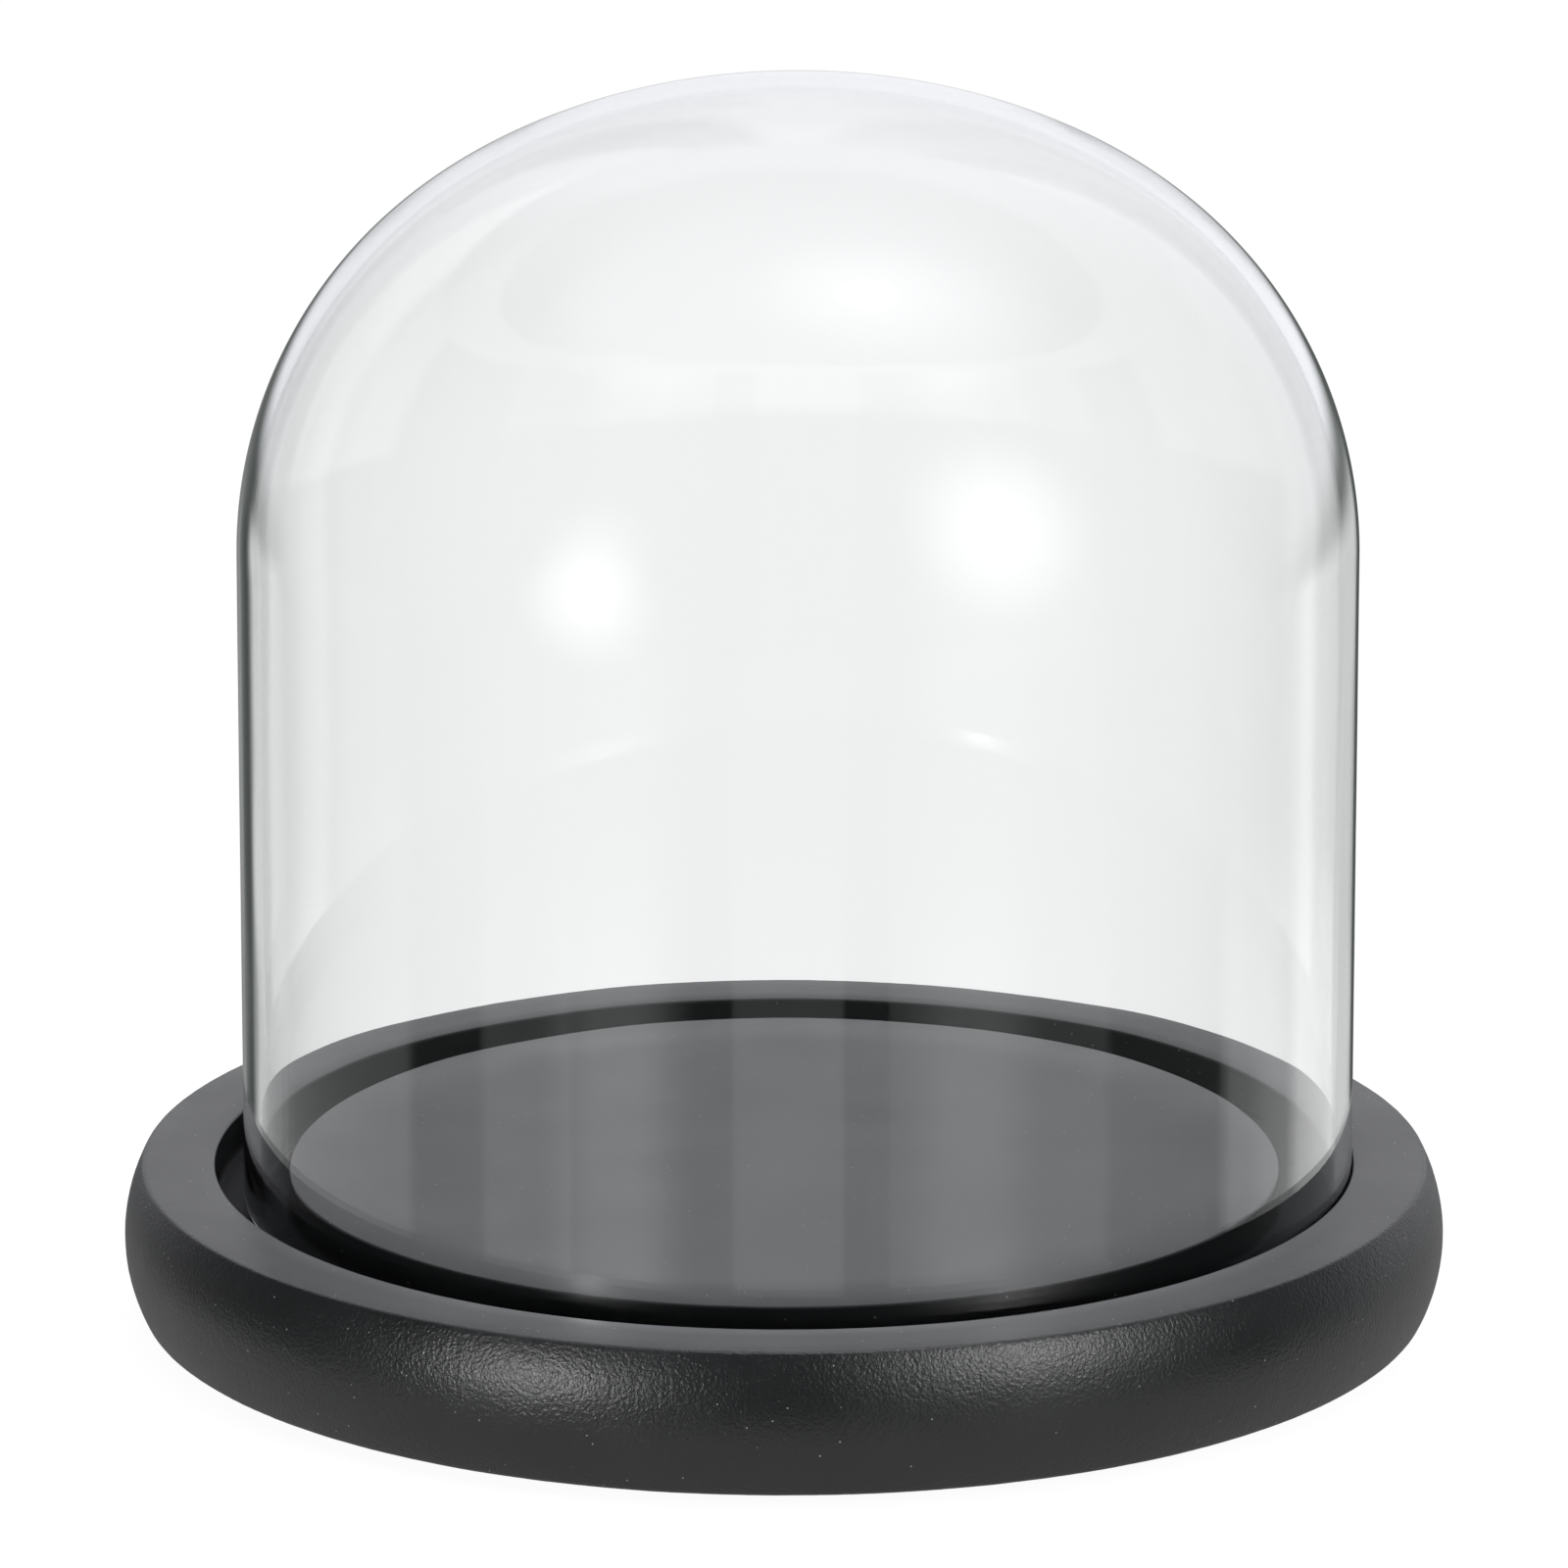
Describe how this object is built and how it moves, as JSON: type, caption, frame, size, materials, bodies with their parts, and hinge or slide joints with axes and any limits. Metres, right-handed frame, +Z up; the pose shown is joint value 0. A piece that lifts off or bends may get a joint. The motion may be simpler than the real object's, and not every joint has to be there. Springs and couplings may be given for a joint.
{
  "type": "bell jar dome",
  "caption": "Clear glass display dome with a rounded crown, standing loose in the ring groove of a round, bull-nosed black wooden base.",
  "frame": {"origin": "centre of the base's footprint, on the surface that the foot pads stand on", "axes": "+Z up, along the way the dome lifts off; +X towards the side of the groove that the dome leans against"},
  "size_m": [0.15, 0.15, 0.142],
  "materials": {
    "glass": "clear, polished",
    "black_wood": "satin black paint, pebbled on the machined side",
    "felt": "dense black felt"
  },
  "bodies": {
    "base": {"wooden_base": "black_wood", "foot_pad_1": "felt", "foot_pad_2": "felt", "foot_pad_3": "felt", "foot_pad_4": "felt"},
    "dome": {"glass_dome": "glass"}
  },
  "joints": [
    {"name": "dome_lift", "type": "slide", "parent": "base", "child": "dome", "axis": [0, 0, 1], "range_m": [0, 0.14]}
  ]
}
